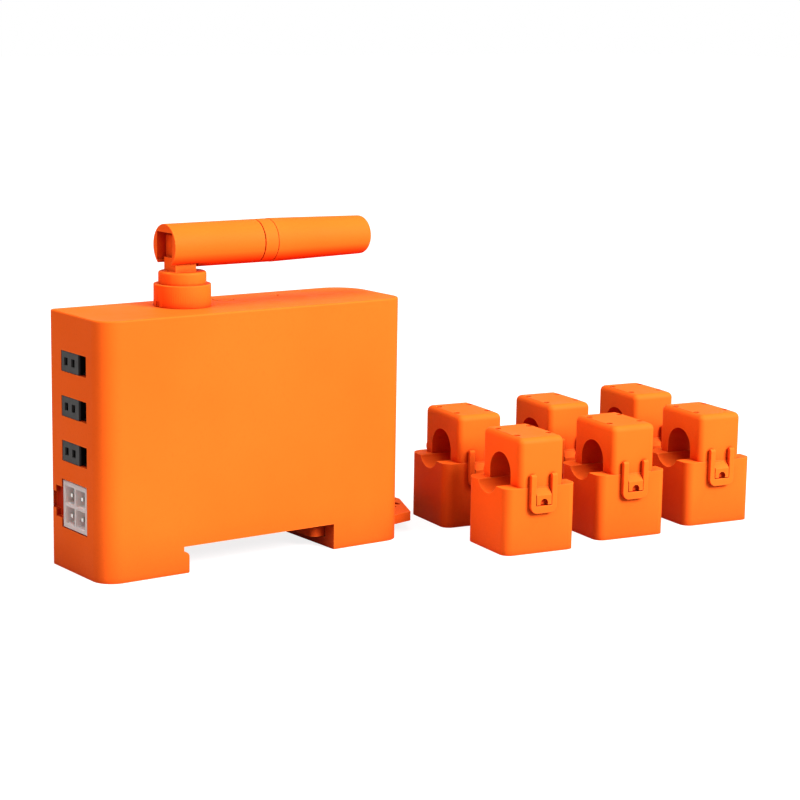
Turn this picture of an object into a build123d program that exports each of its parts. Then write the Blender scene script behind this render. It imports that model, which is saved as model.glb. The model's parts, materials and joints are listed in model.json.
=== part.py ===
from build123d import *
import os

# A smart energy monitor that hangs on a 35 mm mounting rail, with its six
# split-core current clamps standing beside it in three columns and two rows.
# Origin: centre of the rail seat, the notch's ceiling. +X is the right of the
# unit's front face, +Y its back, +Z up away from the rail. Sizes in mm.
# Names ending in _x, _y and _z are measured from the case's left face, front
# face and feet, and for a clamp from its own centre plane, front face and foot.
# Names ending in _share are shares of the case's width, or of its right foot's
# width for the spring.

# Case
case_width = 71.0
case_depth = 21.6
case_height = 51.3
front_corner_radius = 4.2
rear_left_radius = 1.1
rear_right_radius = 6.9
top_edge_radius = 0.35
foot_edge_radius = 0.3
wall = 1.6
back_wall = 2.4
cut_overrun = 1.0
fit_gap = 0.1
bore_gap = 0.03

# Rail notch, with the fixed hook on the left and the slider on the right
rail_width = 35.0
rail_play = 0.65
hook_wall_x = 17.9
hook_reach = 1.2
hook_throat = 1.1
hook_lip_radius = 1.0
notch_height = 5.4
seat_wall = 1.6

# Rear cover
cover_left_margin = 3.2
cover_right_margin = 8.0
cover_top_margin = 2.4
cover_bottom_margin = 2.4
cover_flange = 1.2
cover_ledge = 1.4
cover_pad = 2.3

# Cover screws, which also hold the board on the case's four posts
screw_side_inset = 14.5
low_screw_right_inset = 12.0
screw_top_inset = 7.4
screw_bottom_inset = 10.6
screw_radius = 1.05
screw_length = 9.5
screw_head_radius = 1.9
screw_head_height = 1.1
screw_cross_width = 0.5
screw_cross_span = 2.2
screw_cross_depth = 0.7
post_radius = 2.1

# Main board, upright behind the sockets
board_cover_gap = 1.0
board_thickness = 1.6
board_side_gap = 0.8
board_bottom_gap = 1.0
board_top_gap = 3.3

# Current-clamp sockets, three on each side
socket_board_gap = 0.05
socket_width = 10.15
socket_key_width = 3.25
socket_opening_play = 0.1
socket_header_gap = 3.95
socket_top_margin = 7.44
socket_height = 4.15
socket_count = 3
socket_length = 8.7
socket_wall = 0.4
socket_void_depth = 5.0
socket_shroud_setback = 1.0
left_socket_recess = 0.08
right_socket_recess = 0.95
slot_width = 1.4
slot_height = 1.6
slot_depth = 5.2
slot_inset = 1.8
slot_pitch = 2.9
contact_size = 0.6
contact_setback = 1.6
contact_leg_step = 1.2

# White two by two terminal header
header_board_gap = 0.1
header_width = 9.8
header_height = 9.35
header_bottom_z = 8.55
header_recess = 0.1
header_length = 9.0
header_wall = 0.9
header_rib = 0.65
header_floor = 1.6
header_opening_play = 0.45
header_opening_margin = 0.24
header_pin_size = 0.75
header_pin_setback = 0.35
latch_recess_depth = 1.1
latch_pocket_depth = 2.5
latch_pocket_low_inset = 1.55
latch_pocket_high_inset = 1.45
latch_channel_lip = 0.35
latch_channel_low_inset = 1.5
latch_channel_high_inset = 1.35

# Antenna
antenna_x = 25.2
antenna_back_inset = 8.6
collar_radius = 5.74
collar_height = 4.44
collar_key_width = 1.3
collar_key_height = 1.1
collar_key_depth = 0.35
stub_radius = 3.6
stub_tail = 0.6
nut_across = 9.0
nut_thickness = 2.0
lead_bore_radius = 1.0
spigot_radius = 2.4
spigot_length = 4.0
swivel_radius = 4.8
swivel_height = 2.5
swivel_edge_radius = 0.45
stem_width = 4.65
stem_depth = 4.6
pivot_offset = 0.5
pivot_height = 5.08
knuckle_width = 3.0
knuckle_depth = 5.96
knuckle_half_height = 2.35
knuckle_corner_radius = 0.6
trunnion_radius = 0.8
trunnion_length = 0.85
tube_radius = 4.42
tube_end_reach = 3.6
tube_length = 20.9
fork_slot_width = 6.05
fork_slot_depth = 6.55
fork_slot_rise = 2.74
fork_slot_drop = 3.0
fork_mouth_width = 5.3
fork_web = 0.9
bore_radius = 3.3
neck_radius = 3.7
neck_length = 5.4
ring_length = 3.0
deep_seam = 0.24
fine_seam = 0.07
sleeve_length = 23.5
sleeve_start_radius = 4.48
sleeve_end_radius = 3.98
sleeve_end_rounding = 1.1
sleeve_end_wall = 1.4
strip_width = 6.1
strip_thickness = 0.8
strip_end_gap = 0.3

# Top button with its switch, and the status light
button_x = 36.7
button_back_inset = 5.4
button_radius = 2.1
button_gap = 0.2
button_rise = 0.05
button_flange_radius = 2.7
button_flange_thickness = 0.8
button_travel = 0.3
button_stem_radius = 0.9
button_stem_lift = 1.6
button_stem_length = 2.2
switch_width = 6.0
switch_depth = 4.0
switch_height = 3.4
light_x = 50.0
light_back_inset = 5.25
light_radius = 0.42
light_recess = 0.35
light_body_radius = 0.7
light_length = 3.2
led_width = 1.6
led_depth = 1.2
led_height = 1.5
led_gap = 0.3
mark_radius = 0.95
mark_offset = 0.8
mark_bite = 0.7
mark_depth = 0.9

# Power supply and electronics on the board
transformer_share = 0.43
transformer_z = 27.5
transformer_core_width = 13.0
transformer_core_height = 8.0
transformer_front_gap = 3.0
winding_width = 10.0
winding_height = 13.0
winding_setback = 2.5
capacitor_share = 0.566
capacitor_gap = 1.0
capacitor_z = 14.8
capacitor_radius = 4.0
capacitor_front_gap = 4.0
capacitor_count = 2
fuse_share = 0.289
fuse_z = 18.6
fuse_radius = 4.2
fuse_front_gap = 7.0
varistor_share = 0.4225
varistor_z = 13.6
varistor_radius = 4.2
varistor_thickness = 3.4
varistor_lift = 1.2
lead_radius = 0.35
lead_spacing = 5.0
chip_share = 0.2535
chip_z = 28.0
chip_width = 7.0
chip_thickness = 1.1
module_share = 0.683
module_top_gap = 12.4
module_width = 13.2
module_height = 12.6
module_thickness = 0.8
can_side_margin = 1.1
can_end_margin = 0.8
can_thickness = 2.2
can_wall = 0.3

# Rail slider and its spring
slider_bottom_z = 2.15
slider_thickness = 2.0
slider_side_inset = 3.7
slider_nose_reach = 3.0
slider_nose_radius = 1.4
channel_floor_gap = 0.15
channel_roof_gap = 0.15
channel_side_gap = 0.5
tab_front_reach = 5.7
tab_front_inset = 1.2
tab_tip_reach = 10.8
tab_shoulder_inset = 5.7
tab_back_inset = 2.4
tab_slot_reach = 7.5
tab_slot_back_inset = 7.9
tab_slot_length = 2.2
tab_slot_width = 1.1
tab_mark_reach = 5.5
tab_mark_back_inset = 11.3
tab_mark_radius = 0.35
spring_start_share = 0.2206
spring_end_share = 0.6332
spring_radius = 0.95
spring_wire = 0.35
spring_window_gap = 0.35
stop_thickness = 1.6

# Clamps: their places in columns and rows, the first one's centre from the right face and the front
clamp_start_reach = 18.1
clamp_start_y = -17.0
clamp_column_step = (24.9, -0.3)
clamp_row_step = (4.3, 26.0)
clamp_columns = 3
clamp_rows = 2
clamp_yaw = -8.2

# One clamp
clamp_width = 17.0
clamp_depth = 16.5
clamp_base_height = 14.0
clamp_front_radius = 2.0
clamp_rear_radius = 2.8
aperture_radius = 4.2
aperture_y = 7.85
aperture_z = 16.05
jaw_width = 10.7
jaw_front_y = 0.1
jaw_back_y = 15.4
jaw_height = 10.3
jaw_edge_radius = 1.3
jaw_pinhole_radius = 0.48
jaw_pinhole_depth = 1.0
jaw_pinhole_x = 3.75
jaw_pinhole_y = (4.1, 11.9)
hinge_y = 14.5
hinge_z = 15.1
hinge_pin_radius = 0.45
hinge_barrel_radius = 1.05
hinge_barrel_inset = 0.45
lug_start_x = 2.8
lug_thickness = 1.1
lug_radius = 0.95
lug_swing_gap = 0.2
pin_start_x = 2.5
pin_end_x = 4.75
core_width = 4.6
core_front_y = 1.7
core_back_y = 14.0
core_leg = 1.5
core_bar = 1.9
core_top_wall = 0.45
lower_bar_z = 7.6
coil_thickness = 1.3
coil_front_y = 4.2
coil_back_y = 11.5

# Latch loop on the jaw, and the tooth on the base that it snaps over
latch_width = 6.2
latch_prong = 1.2
latch_reach = 1.1
latch_face_gap = 0.05
latch_root_z = 16.3
latch_bottom_z = 8.6
latch_bar_top_z = 10.2
latch_corner_radius = 1.5
tooth_gap = 0.15
tooth_top_z = 13.7
tooth_shoulder_z = 12.45
tooth_bottom_z = 10.4
tooth_hole_z = 10.75
tooth_hole_radius = 0.93
tooth_hole_depth = 0.9

# Faces and lines of the case that everything else is placed from
left = -case_width / 2
right = case_width / 2
front = -case_depth / 2
back = case_depth / 2
foot = -notch_height
top = foot + case_height
inner_top = top - wall
hook_tip = left + hook_wall_x + hook_reach
notch_end = left + hook_wall_x + rail_width + rail_play
board_front = back - back_wall - board_cover_gap - board_thickness
board_top = inner_top - board_top_gap
socket_front = board_front - socket_board_gap - socket_width
header_front = board_front - header_board_gap - header_width
header_back = header_front + header_width
header_low = foot + header_bottom_z
header_high = header_low + header_height
axis_y = back - antenna_back_inset
button_y = back - button_back_inset
stem_y = board_front - button_stem_lift
light_y = back - light_back_inset
spring_start = notch_end + spring_start_share * (right - notch_end)
spring_end = notch_end + spring_end_share * (right - notch_end)
slider_low = foot + slider_bottom_z
slider_high = slider_low + slider_thickness

LOW = (Align.MIN, Align.MIN, Align.MIN)
STAND = (Align.CENTER, Align.CENTER, Align.MIN)


def block(x0, x1, y0, y1, z0, z1):
    """A box between two corners."""
    return Pos(x0, y0, z0) * Box(x1 - x0, y1 - y0, z1 - z0, align=LOW)


def rod(x, y, z, radius, length, along):
    """A round bar that starts at a point and runs along a direction."""
    return Plane(origin=(x, y, z), z_dir=along) * Cylinder(radius, length, align=STAND)


def plan(width, depth, front_radius, left_radius, right_radius):
    """A rectangle with rounded front corners and two unequal rear corners."""
    shape = Rectangle(width, depth)
    shape = fillet(shape.vertices().group_by(Axis.Y)[0], front_radius)
    shape = fillet(shape.vertices().group_by(Axis.Y)[-1].sort_by(Axis.X)[-1], right_radius)
    return fillet(shape.vertices().group_by(Axis.Y)[-1].sort_by(Axis.X)[0], left_radius)


# Rows of sockets and screws

def socket_bottoms():
    """Heights of the sockets of one side, spread from the header up to the top."""
    lowest = header_high + socket_header_gap
    highest = top - socket_top_margin - socket_height
    pitch = (highest - lowest) / (socket_count - 1)
    return [lowest + row * pitch for row in range(socket_count)]


def slot_places():
    """The two slots of a socket, the nearer to the board last."""
    last = socket_front + socket_width - slot_inset
    return [last - slot_pitch, last]


def screw_points():
    """The four cover screws, as places across and up the back."""
    low, high = foot + screw_bottom_inset, top - screw_top_inset
    return [(left + screw_side_inset, low), (left + screw_side_inset, high),
            (right - low_screw_right_inset, low), (right - screw_side_inset, high)]


def cover_frame(inset):
    """The cover's outline, drawn in by a given width: left, right, bottom, top."""
    return (left + cover_left_margin + inset, right - cover_right_margin - inset,
            cover_bottom_margin + inset, top - cover_top_margin - inset)


# Case shell

def case_body():
    """The case's outer form with the rail notch and its hook."""
    outline = plan(case_width, case_depth, front_corner_radius, rear_left_radius, rear_right_radius)
    body = Pos(0, 0, foot) * extrude(outline, case_height)
    body = fillet(body.faces().sort_by(Axis.Z)[-1].edges(), top_edge_radius)
    y0, y1 = front - cut_overrun, back + cut_overrun
    body -= block(hook_tip, notch_end, y0, y1, foot - cut_overrun, 0)
    body -= block(hook_tip - hook_reach, hook_tip, y0, y1, -hook_throat, 0)
    lip = body.edges().filter_by(Axis.Y).filter_by(
        lambda e: abs(e.center().X - hook_tip) < fit_gap and abs(e.center().Z + hook_throat) < fit_gap)
    body = fillet(lip, hook_lip_radius)
    heel = body.edges().filter_by(Axis.Y).filter_by(
        lambda e: abs(e.center().X - hook_tip) < fit_gap and abs(e.center().Z - foot) < fit_gap)
    return fillet(heel, foot_edge_radius)


def case_cavity():
    """The room inside the case, and the stepped opening for the rear cover."""
    depth = case_depth - wall - back_wall
    outline = plan(case_width - 2 * wall, depth, front_corner_radius - wall,
                   max(rear_left_radius - wall, fit_gap), rear_right_radius - wall)
    middle = front + wall + depth / 2
    room = Pos(0, middle, seat_wall) * extrude(outline, inner_top - seat_wall)
    for inset, start in ((0, back - cover_flange), (cover_ledge, front + case_depth - back_wall - fit_gap)):
        x0, x1, z0, z1 = cover_frame(inset)
        room += block(x0, x1, start, back + cut_overrun, z0, z1)
    return room


def side_openings():
    """Cuts for the sockets of both sides, the header and its latch recess."""
    y0, y1 = socket_front, socket_front + socket_width + socket_opening_play
    cuts = []
    for z in socket_bottoms():
        cuts.append(block(left - cut_overrun, left + wall + fit_gap, y0, y1, z, z + socket_height))
        cuts.append(block(right - wall - cut_overrun, right + cut_overrun, y0, y1, z, z + socket_height))
    header_end = header_back + header_opening_play
    cuts.append(block(left - cut_overrun, left + wall + fit_gap, header_front - fit_gap, header_end,
                      header_low - header_opening_margin, header_high + header_opening_margin))
    deep = left + latch_recess_depth
    pocket_end = header_end + latch_pocket_depth
    z0, z1 = header_low + latch_pocket_low_inset, header_high - latch_pocket_high_inset
    cuts.append(block(left - cut_overrun, deep, header_end - fit_gap, pocket_end, z0, z1))
    cuts.append(block(left - cut_overrun, deep, pocket_end - fit_gap, back - latch_channel_lip,
                      z0 + latch_channel_low_inset, z1 - latch_channel_high_inset))
    return cuts


def top_openings():
    """Holes for the antenna stub, the button and the light, and the crescent mark."""
    z0, z1 = inner_top - cut_overrun, top + cut_overrun
    holes = [rod(left + antenna_x, axis_y, z0, stub_radius + bore_gap, z1 - z0, (0, 0, 1)),
             rod(left + button_x, button_y, z0, button_radius + button_gap, z1 - z0, (0, 0, 1)),
             rod(left + light_x, light_y, z0, light_radius + bore_gap, z1 - z0, (0, 0, 1))]
    x, y = left + light_x - mark_offset, light_y
    moon = rod(x, y, top - mark_depth, mark_radius, mark_depth + cut_overrun, (0, 0, 1))
    bite = rod(x, y + mark_bite, top - mark_depth - cut_overrun, mark_radius,
               mark_depth + 3 * cut_overrun, (0, 0, 1))
    holes.append(moon - bite)
    return holes


def slider_channel():
    """The channel through the right foot that the slider runs in."""
    inset = slider_side_inset - channel_side_gap
    return block(notch_end - cut_overrun, right + cut_overrun, front + inset, back - inset,
                 slider_low - channel_floor_gap, slider_high + channel_roof_gap)


def spring_stop():
    """The rib across the channel that the spring bears on."""
    half = spring_radius + spring_window_gap
    return block(spring_end, spring_end + stop_thickness, -half, half,
                 slider_low - channel_floor_gap, slider_high + channel_roof_gap)


def case_shell():
    """The whole front case in one moulding, open at the back for the cover."""
    shell = case_body() - case_cavity()
    for x, z in screw_points():
        y = front + wall - fit_gap
        shell += rod(x, y, z, post_radius, board_front - y, (0, 1, 0))
        shell -= rod(x, board_front - screw_length, z, screw_radius + bore_gap,
                     screw_length + cut_overrun, (0, 1, 0))
    for cut in side_openings() + top_openings() + [slider_channel()]:
        shell -= cut
    return shell + spring_stop()


# Rear cover and its screws

def rear_cover():
    """Flush cover plate with a step behind it and pads that hold the board."""
    x0, x1, z0, z1 = cover_frame(fit_gap)
    cover = block(x0, x1, back - cover_flange, back, z0, z1)
    x0, x1, z0, z1 = cover_frame(cover_ledge + fit_gap)
    cover += block(x0, x1, back - back_wall, back - cover_flange, z0, z1)
    board_back = board_front + board_thickness
    for x, z in screw_points():
        cover += rod(x, board_back, z, cover_pad, back - back_wall - board_back, (0, 1, 0))
        cover -= rod(x, board_back - cut_overrun, z, screw_radius + fit_gap,
                     case_depth, (0, 1, 0))
        cover -= rod(x, back - screw_head_height, z, screw_head_radius + fit_gap,
                     case_depth, (0, 1, 0))
    return cover


def cover_screws():
    """Four pan screws with cross recesses, their heads flush with the cover."""
    screws = []
    half, span = screw_cross_width / 2, screw_cross_span / 2
    for x, z in screw_points():
        seat = back - screw_head_height
        screw = rod(x, seat, z, screw_head_radius, screw_head_height, (0, 1, 0))
        tip = board_front - screw_length + cut_overrun
        screw += rod(x, tip, z, screw_radius, seat - tip, (0, 1, 0))
        deep = back - screw_cross_depth
        screw -= block(x - span, x + span, deep, back + cut_overrun, z - half, z + half)
        screw -= block(x - half, x + half, deep, back + cut_overrun, z - span, z + span)
        screws.append(screw)
    return Compound(screws)


# Main board and what it carries

def main_board():
    """The upright board, with a hole at each screw."""
    side = wall + board_side_gap
    board = block(left + side, right - side - rear_right_radius / 2, board_front,
                  board_front + board_thickness, seat_wall + board_bottom_gap, board_top)
    for x, z in screw_points():
        board -= rod(x, board_front - cut_overrun, z, screw_radius + fit_gap, case_depth, (0, 1, 0))
    return board


def across(share):
    """The place that lies a share of the case's width from its left face."""
    return left + share * case_width


def room_to_front(gap):
    """How far a part on the board reaches, leaving a gap to the front wall."""
    return board_front - front - wall - gap


def on_board(x, z, width, height, depth):
    """A box that sits on the board's front, centred across and up on a place."""
    return block(x - width / 2, x + width / 2, board_front - depth, board_front,
                 z - height / 2, z + height / 2)


def transformer():
    """Ferrite core with its taped winding."""
    x, z, depth = across(transformer_share), foot + transformer_z, room_to_front(transformer_front_gap)
    core = on_board(x, z, transformer_core_width, transformer_core_height, depth)
    return core + on_board(x, z, winding_width, winding_height, depth - winding_setback)


def bulk_capacitors():
    """Two electrolytic capacitors, standing on the board."""
    cans = []
    for place in range(capacitor_count):
        x = across(capacitor_share) + place * (2 * capacitor_radius + capacitor_gap)
        cans.append(rod(x, board_front, foot + capacitor_z, capacitor_radius,
                        room_to_front(capacitor_front_gap), (0, -1, 0)))
    return Compound(cans)


def fuse():
    """Round plug-in fuse."""
    return rod(across(fuse_share), board_front, foot + fuse_z, fuse_radius,
               room_to_front(fuse_front_gap), (0, -1, 0))


def varistor():
    """Disc varistor on two leads."""
    x, z = across(varistor_share), foot + varistor_z
    y = board_front - varistor_lift - varistor_radius
    disc = rod(x, y, z - varistor_thickness / 2, varistor_radius, varistor_thickness, (0, 0, 1))
    for side in (-1, 1):
        disc += rod(x + side * lead_spacing / 2, y, z, lead_radius, board_front - y, (0, 1, 0))
    return disc


def metering_chip():
    """The metering circuit in a flat square package."""
    return on_board(across(chip_share), foot + chip_z, chip_width, chip_width, chip_thickness)


def radio_module():
    """The radio's own small board."""
    return on_board(across(module_share), board_top - module_top_gap, module_width, module_height,
                    module_thickness)


def shield_can():
    """Pressed metal lid over the radio's circuits."""
    x, z, lift = across(module_share), board_top - module_top_gap, module_thickness + can_thickness
    width, height = module_width - 2 * can_side_margin, module_height - 2 * can_end_margin
    can = on_board(x, z, width, height, lift)
    can -= on_board(x, z, width, height, module_thickness)
    return can - on_board(x, z, width - 2 * can_wall, height - 2 * can_wall, lift - can_wall)


# Sockets and header on the left side, and the mirrored sockets on the right

def socket_housing(bottom):
    """One two-way socket: face block with two slots beside an open keyway."""
    x0 = left + left_socket_recess
    x1 = x0 + socket_length
    z0, z1 = bottom + fit_gap, bottom + socket_height - fit_gap
    y0, y1 = socket_front + fit_gap, socket_front + socket_width
    key = socket_front + socket_key_width
    body = block(x0 + socket_shroud_setback, x1, y0, y1, z0, z1)
    body -= block(x0, x0 + socket_void_depth, y0 + socket_wall, key, z0 + socket_wall, z1 - socket_wall)
    body += block(x0, x1, key, y1, z0, z1)
    middle = (z0 + z1) / 2
    for y in slot_places():
        body -= block(x0 - cut_overrun, x0 + slot_depth, y - slot_width / 2, y + slot_width / 2,
                      middle - slot_height / 2, middle + slot_height / 2)
        half = contact_size / 2 + bore_gap
        body -= block(x0, x1 + cut_overrun, y - half, y + half, middle - half, middle + half)
    return body


def angle_pin(tip, bend, y, z, size):
    """A square pin that runs inward along X, then turns back to the board."""
    half = size / 2
    run = block(tip, bend + half, y - half, y + half, z - half, z + half)
    return run + block(bend - half, bend + half, y - half, board_front, z - half, z + half)


def socket_contacts_left():
    """Two pins for each socket of the left side."""
    x0 = left + left_socket_recess
    pins = []
    for bottom in socket_bottoms():
        for order, y in enumerate(reversed(slot_places())):
            bend = x0 + socket_length + contact_size + order * contact_leg_step
            pins.append(angle_pin(x0 + contact_setback, bend, y,
                                  bottom + socket_height / 2, contact_size))
    return pins


def to_right_side(piece):
    """The mirror image of a left socket piece, set a little deeper in the case."""
    return Pos(left_socket_recess - right_socket_recess, 0, 0) * mirror(piece, Plane.YZ)


def terminal_header():
    """White housing with two rows of two open cells."""
    x0 = left + header_recess
    x1 = x0 + header_length
    body = block(x0, x1, header_front, header_back, header_low, header_high)
    cell_y = (header_width - header_rib) / 2 - header_wall
    cell_z = (header_height - header_rib) / 2 - header_wall
    for y, z in header_cells():
        body -= block(x0 - cut_overrun, x1 - header_floor, y - cell_y / 2, y + cell_y / 2,
                      z - cell_z / 2, z + cell_z / 2)
        half = header_pin_size / 2 + bore_gap
        body -= block(x0, x1 + cut_overrun, y - half, y + half, z - half, z + half)
    return body


def header_cells():
    """Centres of the header's four cells."""
    step_y = (header_width + header_rib) / 2 - header_wall
    step_z = (header_height + header_rib) / 2 - header_wall
    middle_y, middle_z = (header_front + header_back) / 2, (header_low + header_high) / 2
    return [(middle_y + row * step_y / 2, middle_z + line * step_z / 2)
            for line in (-1, 1) for row in (1, -1)]


def header_pins():
    """Four square pins, turned back to the board behind the header."""
    x0 = left + header_recess
    pins = []
    for order, (y, z) in enumerate(header_cells()):
        bend = x0 + header_length + header_pin_size + (order % 2) * contact_leg_step
        pins.append(angle_pin(x0 + header_pin_setback, bend, y, z, header_pin_size))
    return Compound(pins)


# Antenna, from the case's top up to the folding arm

collar_top = top + collar_height
swivel_top = collar_top + swivel_height
pivot_x = left + antenna_x - pivot_offset
pivot_z = swivel_top + pivot_height
tube_start = pivot_x - tube_end_reach
tube_end = tube_start + tube_length


def antenna_base():
    """Collar on the case's top, with a hollow stub through the wall."""
    x = left + antenna_x
    base = rod(x, axis_y, top, collar_radius, collar_height, (0, 0, 1))
    base += rod(x, axis_y, inner_top - nut_thickness - stub_tail, stub_radius,
                wall + nut_thickness + stub_tail, (0, 0, 1))
    base -= rod(x, axis_y, collar_top - spigot_length - fit_gap, spigot_radius + bore_gap,
                spigot_length + cut_overrun, (0, 0, 1))
    base -= rod(x, axis_y, inner_top - nut_thickness - 2 * cut_overrun, lead_bore_radius,
                wall + nut_thickness + collar_height + cut_overrun, (0, 0, 1))
    edge = x - collar_radius
    half = collar_key_width / 2
    return base - block(edge - cut_overrun, edge + collar_key_depth, axis_y - half, axis_y + half,
                        top - cut_overrun, top + collar_key_height)


def antenna_nut():
    """Hexagon nut under the case's top."""
    shape = RegularPolygon(nut_across / 2, 6, major_radius=False)
    nut = extrude(shape, nut_thickness)
    nut = Pos(left + antenna_x, axis_y, inner_top - nut_thickness) * nut
    return nut - rod(left + antenna_x, axis_y, inner_top - nut_thickness - cut_overrun,
                     stub_radius + bore_gap, nut_thickness + wall, (0, 0, 1))


def antenna_swivel():
    """Turning disc with its spigot below and the hinge knuckle above."""
    x = left + antenna_x
    disc = rod(x, axis_y, collar_top, swivel_radius, swivel_height, (0, 0, 1))
    disc = fillet(disc.edges().sort_by(Axis.Z)[-1], swivel_edge_radius)
    disc += rod(x, axis_y, collar_top - spigot_length, spigot_radius, spigot_length, (0, 0, 1))
    knuckle_z = pivot_z - knuckle_half_height
    disc += block(pivot_x - stem_width / 2, pivot_x + stem_width / 2, axis_y - stem_depth / 2,
                  axis_y + stem_depth / 2, swivel_top - fit_gap, knuckle_z)
    knuckle = block(pivot_x - knuckle_width / 2, pivot_x + knuckle_width / 2,
                    axis_y - knuckle_depth / 2, axis_y + knuckle_depth / 2,
                    knuckle_z, pivot_z + knuckle_half_height)
    knuckle = fillet(knuckle.edges().filter_by(Axis.Y).group_by(Axis.Z)[-1], knuckle_corner_radius)
    pin = rod(pivot_x, axis_y - knuckle_depth / 2 - trunnion_length, pivot_z, trunnion_radius,
              knuckle_depth + 2 * trunnion_length, (0, 1, 0))
    return disc + knuckle + pin


def antenna_tube():
    """Lower half of the arm: a fork at the hinge end and a neck at the other."""
    tube = rod(tube_start, axis_y, pivot_z, tube_radius, tube_length, (1, 0, 0))
    tube += rod(tube_end - fit_gap, axis_y, pivot_z, neck_radius, neck_length + fit_gap, (1, 0, 0))
    slot_end = tube_start + fork_slot_depth
    for width, low, high in ((fork_slot_width, pivot_z - fork_slot_drop, pivot_z + fork_slot_rise),
                             (fork_mouth_width, pivot_z - 2 * tube_radius, pivot_z)):
        tube -= block(tube_start - cut_overrun, slot_end, axis_y - width / 2, axis_y + width / 2,
                      low, high)
    half = fork_slot_width / 2
    tube -= rod(pivot_x, axis_y - half - trunnion_length, pivot_z, trunnion_radius + bore_gap,
                fork_slot_width + 2 * trunnion_length, (0, 1, 0))
    inner = slot_end + fork_web
    tube -= rod(inner, axis_y, pivot_z, bore_radius, tube_length + neck_length, (1, 0, 0))
    return tube - rod(tube_start, axis_y, pivot_z, lead_bore_radius, tube_length, (1, 0, 0))


def antenna_ring():
    """Band between the arm's two seams, slid over the neck."""
    start = tube_end + deep_seam
    ring = rod(start, axis_y, pivot_z, tube_radius, ring_length, (1, 0, 0))
    return ring - rod(start - cut_overrun, axis_y, pivot_z, neck_radius + bore_gap,
                      ring_length + 2 * cut_overrun, (1, 0, 0))


def antenna_sleeve():
    """Tapered outer half of the arm, closed and rounded at its tip."""
    start = tube_end + deep_seam + ring_length + fine_seam
    end = start + sleeve_length
    side = Polyline((start, 0), (start, sleeve_start_radius), (end, sleeve_end_radius), (end, 0),
                    close=True)
    shape = make_face(side)
    corner = shape.vertices().filter_by(lambda v: v.Y > fit_gap).sort_by(Axis.X)[-1]
    shape = fillet(corner, sleeve_end_rounding)
    sleeve = Pos(0, axis_y, pivot_z) * revolve(Plane.XZ * shape, Axis.X)
    sleeve -= rod(start - cut_overrun, axis_y, pivot_z, neck_radius + bore_gap,
                  neck_length - ring_length + cut_overrun, (1, 0, 0))
    return sleeve - rod(start, axis_y, pivot_z, bore_radius, sleeve_length - sleeve_end_wall, (1, 0, 0))


def antenna_radiator():
    """Printed strip that radiates, inside the whole arm."""
    start = tube_start + fork_slot_depth + fork_web
    end = tube_end + deep_seam + ring_length + fine_seam + sleeve_length - sleeve_end_wall
    return block(start, end - strip_end_gap, axis_y - strip_width / 2, axis_y + strip_width / 2,
                 pivot_z - strip_thickness / 2, pivot_z + strip_thickness / 2)


# Button, switch and light under the case's top

def reset_button():
    """Round cap, its flange inside the case and the stem that works the switch."""
    x = left + button_x
    flange_top = inner_top - fit_gap
    flange_bottom = flange_top - button_flange_thickness
    button = rod(x, button_y, flange_top, button_radius, top + button_rise - flange_top,
                 (0, 0, 1))
    button += rod(x, button_y, flange_bottom, button_flange_radius,
                  button_flange_thickness, (0, 0, 1))
    return button + rod(x, stem_y, flange_bottom - button_stem_length,
                        button_stem_radius, button_stem_length + fit_gap, (0, 0, 1))


def tact_switch():
    """Side-acting switch on the board, with the well that the stem works in."""
    x = left + button_x
    stem_end = inner_top - fit_gap - button_flange_thickness - button_stem_length
    floor = stem_end - button_travel - fit_gap
    roof = stem_end + button_stem_length - button_travel - 2 * fit_gap
    body = block(x - switch_width / 2, x + switch_width / 2, board_front - switch_depth,
                 board_front, roof - switch_height, roof)
    return body - rod(x, stem_y, floor, button_stem_radius + fit_gap,
                      switch_height, (0, 0, 1))


def light_pipe():
    """Clear guide from the light on the board to the pinhole in the top."""
    x, y = left + light_x, light_y
    pipe = rod(x, y, inner_top - light_length, light_body_radius, light_length, (0, 0, 1))
    tip = top - light_recess - inner_top + fit_gap
    return pipe + rod(x, y, inner_top - fit_gap, light_radius, tip, (0, 0, 1))


def status_light():
    """Small light on the board below the guide."""
    x = left + light_x
    roof = min(inner_top - light_length, board_top) - led_gap
    return block(x - led_width / 2, x + led_width / 2, board_front - led_depth, board_front,
                 roof - led_height, roof)


# Rail slider and spring

def rail_slider():
    """Flat bolt with a rounded nose, a spring window and a pull tab outside."""
    nose = notch_end - slider_nose_reach
    y0, y1 = front + slider_side_inset, back - slider_side_inset
    tip, tab_back = right + tab_tip_reach, back - tab_back_inset
    outline = Polyline((nose, y0), (right, y0), (right + tab_front_reach, y0 + tab_front_inset),
                       (tip, back - tab_shoulder_inset), (tip, tab_back),
                       (right + fit_gap, tab_back), (right + fit_gap, y1), (nose, y1), close=True)
    shape = make_face(outline)
    corners = shape.vertices().group_by(Axis.X)[0]
    shape = fillet(corners, slider_nose_radius)
    plate = Pos(0, 0, slider_low) * extrude(shape, slider_thickness)
    half = spring_radius + spring_window_gap + fit_gap
    plate -= block(spring_start, spring_end + stop_thickness + fit_gap, -half, half, foot, 0)
    x, r = right + tab_slot_reach, tab_slot_width / 2
    ya, yb = back - tab_slot_back_inset - tab_slot_length + r, back - tab_slot_back_inset - r
    plate -= block(x - r, x + r, ya, yb, foot, 0)
    plate -= rod(x, ya, foot, r, notch_height, (0, 0, 1)) + rod(x, yb, foot, r, notch_height, (0, 0, 1))
    return plate - rod(right + tab_mark_reach, back - tab_mark_back_inset, foot, tab_mark_radius,
                       notch_height, (0, 0, 1))


def slider_spring():
    """Coil spring's envelope: a thin sleeve between the window's edge and the stop."""
    z, length = slider_low + slider_thickness / 2, spring_end - spring_start
    sleeve = rod(spring_start, 0, z, spring_radius, length, (1, 0, 0))
    return sleeve - rod(spring_start - cut_overrun, 0, z, spring_radius - spring_wire,
                        length + 2 * cut_overrun, (1, 0, 0))


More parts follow.
